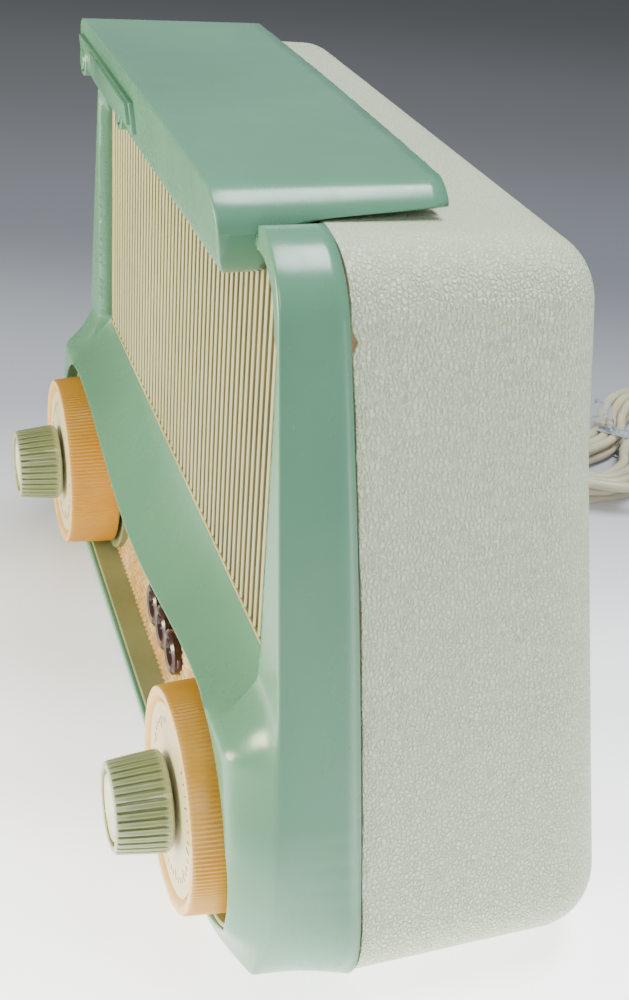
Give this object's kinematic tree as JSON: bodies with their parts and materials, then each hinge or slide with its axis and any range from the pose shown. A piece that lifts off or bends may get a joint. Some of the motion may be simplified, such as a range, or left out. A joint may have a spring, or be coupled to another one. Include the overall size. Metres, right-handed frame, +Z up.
{
  "type": "vintage table radio",
  "caption": "Mains table radio with a moulded front, covered wooden case, ribbed grille, twin dials with inner knobs, folding top handle and a tied-up mains lead behind.",
  "frame": {"origin": "centre of the set's footprint, at the table under its feet", "axes": "+X to the right seen from the front, +Y from the front to the rear, +Z up"},
  "size_m": [0.3743, 0.3939, 0.229],
  "materials": {
    "green_moulding": "glossy",
    "cream_moulding": "satin",
    "olive_moulding": "satin",
    "gold_weave": "woven",
    "brown": "glossy",
    "board": "raw hardboard",
    "plated_steel": "plated",
    "plywood": "raw",
    "covering": "pebbled leathercloth",
    "fibreboard": "raw fibreboard",
    "felt": "felt",
    "amber": "translucent look",
    "ivory": "satin",
    "sage": "satin",
    "brass": "polished",
    "brass_gear": "plain",
    "bakelite": "moulded",
    "paper": "felted paper",
    "glass": "clear, silvered top",
    "beige_lead": "soft",
    "tie": "clear film",
    "plug": "moulded"
  },
  "bodies": {
    "case": {"front_frame": "green_moulding", "grille_panel": "cream_moulding", "window_surround": "olive_moulding", "cloth_panel": "gold_weave", "front_ornament": "brown", "baffle_board": "board", "handle_bracket_left": "plated_steel", "handle_bracket_right": "plated_steel", "handle_pin_left": "plated_steel", "handle_pin_right": "plated_steel", "rear_cover_screw_1": "plated_steel", "rear_cover_screw_2": "plated_steel", "rear_cover_screw_3": "plated_steel", "rear_cover_screw_4": "plated_steel", "tuning_bush": "plated_steel", "tone_bush": "plated_steel", "tuning_capacitor": "plated_steel", "chassis": "plated_steel", "speaker_basket": "plated_steel", "speaker_magnet": "plated_steel", "mains_transformer": "plated_steel", "output_transformer": "plated_steel", "smoothing_capacitor": "plated_steel", "case_body": "plywood", "case_covering": "covering", "rear_cover": "fibreboard", "foot_1": "felt", "foot_2": "felt", "foot_3": "felt", "foot_4": "felt", "tone_control": "bakelite", "volume_control": "bakelite", "band_switch": "bakelite", "speaker_cone": "paper", "valve_1": "glass", "valve_2": "glass", "valve_3": "glass", "valve_4": "glass", "cord_gland": "beige_lead", "mains_cord": "beige_lead", "cord_hank": "beige_lead", "cord_tie": "tie", "mains_plug": "plug"},
    "handle": {"handle": "green_moulding", "handle_plaque": "green_moulding"},
    "tuning": {"tuning_dial": "amber", "tuning_dial_face": "ivory", "tuning_tube": "plated_steel", "tuning_pinion": "brass_gear"},
    "gang": {"tuning_gear": "brass_gear", "tuning_rotor": "plated_steel"},
    "band": {"band_knob": "sage", "band_knob_cap": "brass", "band_shaft": "plated_steel"},
    "tone": {"tone_dial": "amber", "tone_dial_face": "ivory", "tone_tube": "plated_steel"},
    "volume": {"volume_knob": "sage", "volume_knob_cap": "brass", "volume_shaft": "plated_steel"}
  },
  "joints": [
    {"name": "handle_lift", "type": "hinge", "parent": "case", "child": "handle", "pos_m": [0, 0.01677, 0.2238], "axis": [-1, 0, 0], "range_deg": [0, 92]},
    {"name": "tuning_turn", "type": "hinge", "parent": "case", "child": "tuning", "pos_m": [0.1106, -0.05473, 0.044], "axis": [0, 1, 0], "range_deg": [0, 270]},
    {"name": "gang_turn", "type": "hinge", "parent": "case", "child": "gang", "pos_m": [0.0803, -0.05473, 0.044], "axis": [0, 1, 0], "range_deg": [-180, 0]},
    {"name": "band_turn", "type": "hinge", "parent": "case", "child": "band", "pos_m": [0.1106, -0.05473, 0.044], "axis": [0, 1, 0], "range_deg": [0, 90]},
    {"name": "tone_turn", "type": "hinge", "parent": "case", "child": "tone", "pos_m": [-0.1106, -0.05473, 0.044], "axis": [0, 1, 0], "range_deg": [0, 270]},
    {"name": "volume_turn", "type": "hinge", "parent": "case", "child": "volume", "pos_m": [-0.1106, -0.05473, 0.044], "axis": [0, 1, 0], "range_deg": [0, 300]}
  ],
  "couplings": [
    {"joint": "gang_turn", "follows": "tuning_turn", "ratio": -0.66667}
  ]
}
